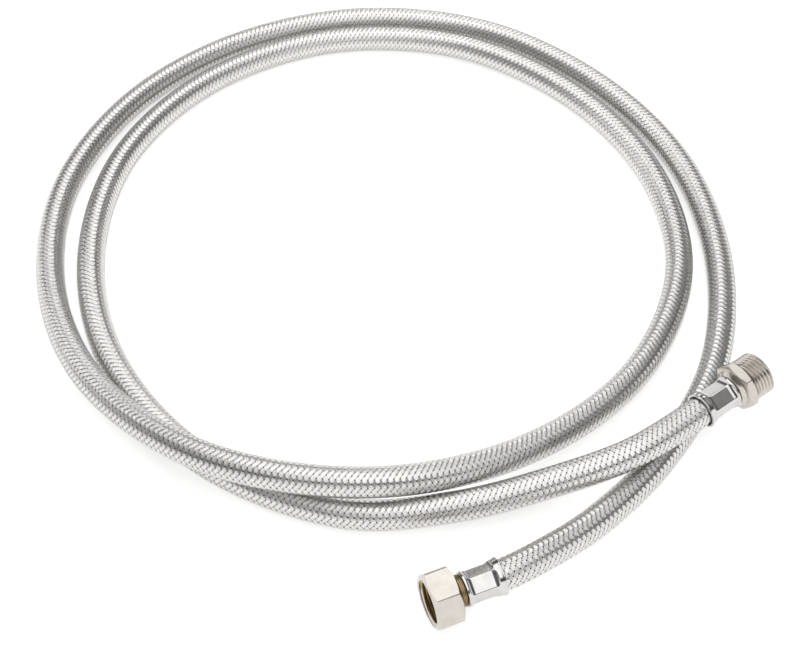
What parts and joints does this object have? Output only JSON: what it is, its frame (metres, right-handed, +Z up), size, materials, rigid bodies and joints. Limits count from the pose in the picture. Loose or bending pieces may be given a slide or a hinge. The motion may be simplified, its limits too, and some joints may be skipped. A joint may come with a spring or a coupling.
{
  "type": "braided supply line",
  "caption": "Flexible metal-braided water supply hose lying in a loose coil, with a hexagonal swivel nut at its inlet end and a fixed male-threaded fitting at its outlet end.",
  "frame": {"origin": "On the floor, midway between the outermost points of the fittings at the hose's ends, the hose itself left out.", "axes": "-X is the way the swivel nut's mouth faces; +Z is up from the floor the coil lies on; the coil lies on the +Y side of the fittings."},
  "size_m": [0.3575, 0.4119, 0.0391],
  "materials": {
    "braid": "bright drawn wire, woven",
    "hose_rubber": "matt",
    "ferrule_steel": "polished",
    "nickel": "satin nickel plate",
    "tail_brass": "plain machined brass, slightly dulled",
    "washer_rubber": "matt"
  },
  "bodies": {
    "line": {"braid": "braid", "inner_hose": "hose_rubber", "nut_ferrule": "ferrule_steel", "nut_tail": "tail_brass", "male_ferrule": "ferrule_steel", "male_fitting": "nickel"},
    "washer": {"nut_gasket": "washer_rubber"},
    "nut": {"swivel_nut": "nickel"}
  },
  "joints": [
    {"name": "nut_spin", "type": "hinge", "parent": "line", "child": "washer", "pos_m": [-0.0877, -0.02, 0.012], "axis": [1, 0, 0], "continuous": true},
    {"name": "nut_slide", "type": "slide", "parent": "washer", "child": "nut", "axis": [1, 0, 0], "range_m": [0, 0.003]}
  ]
}
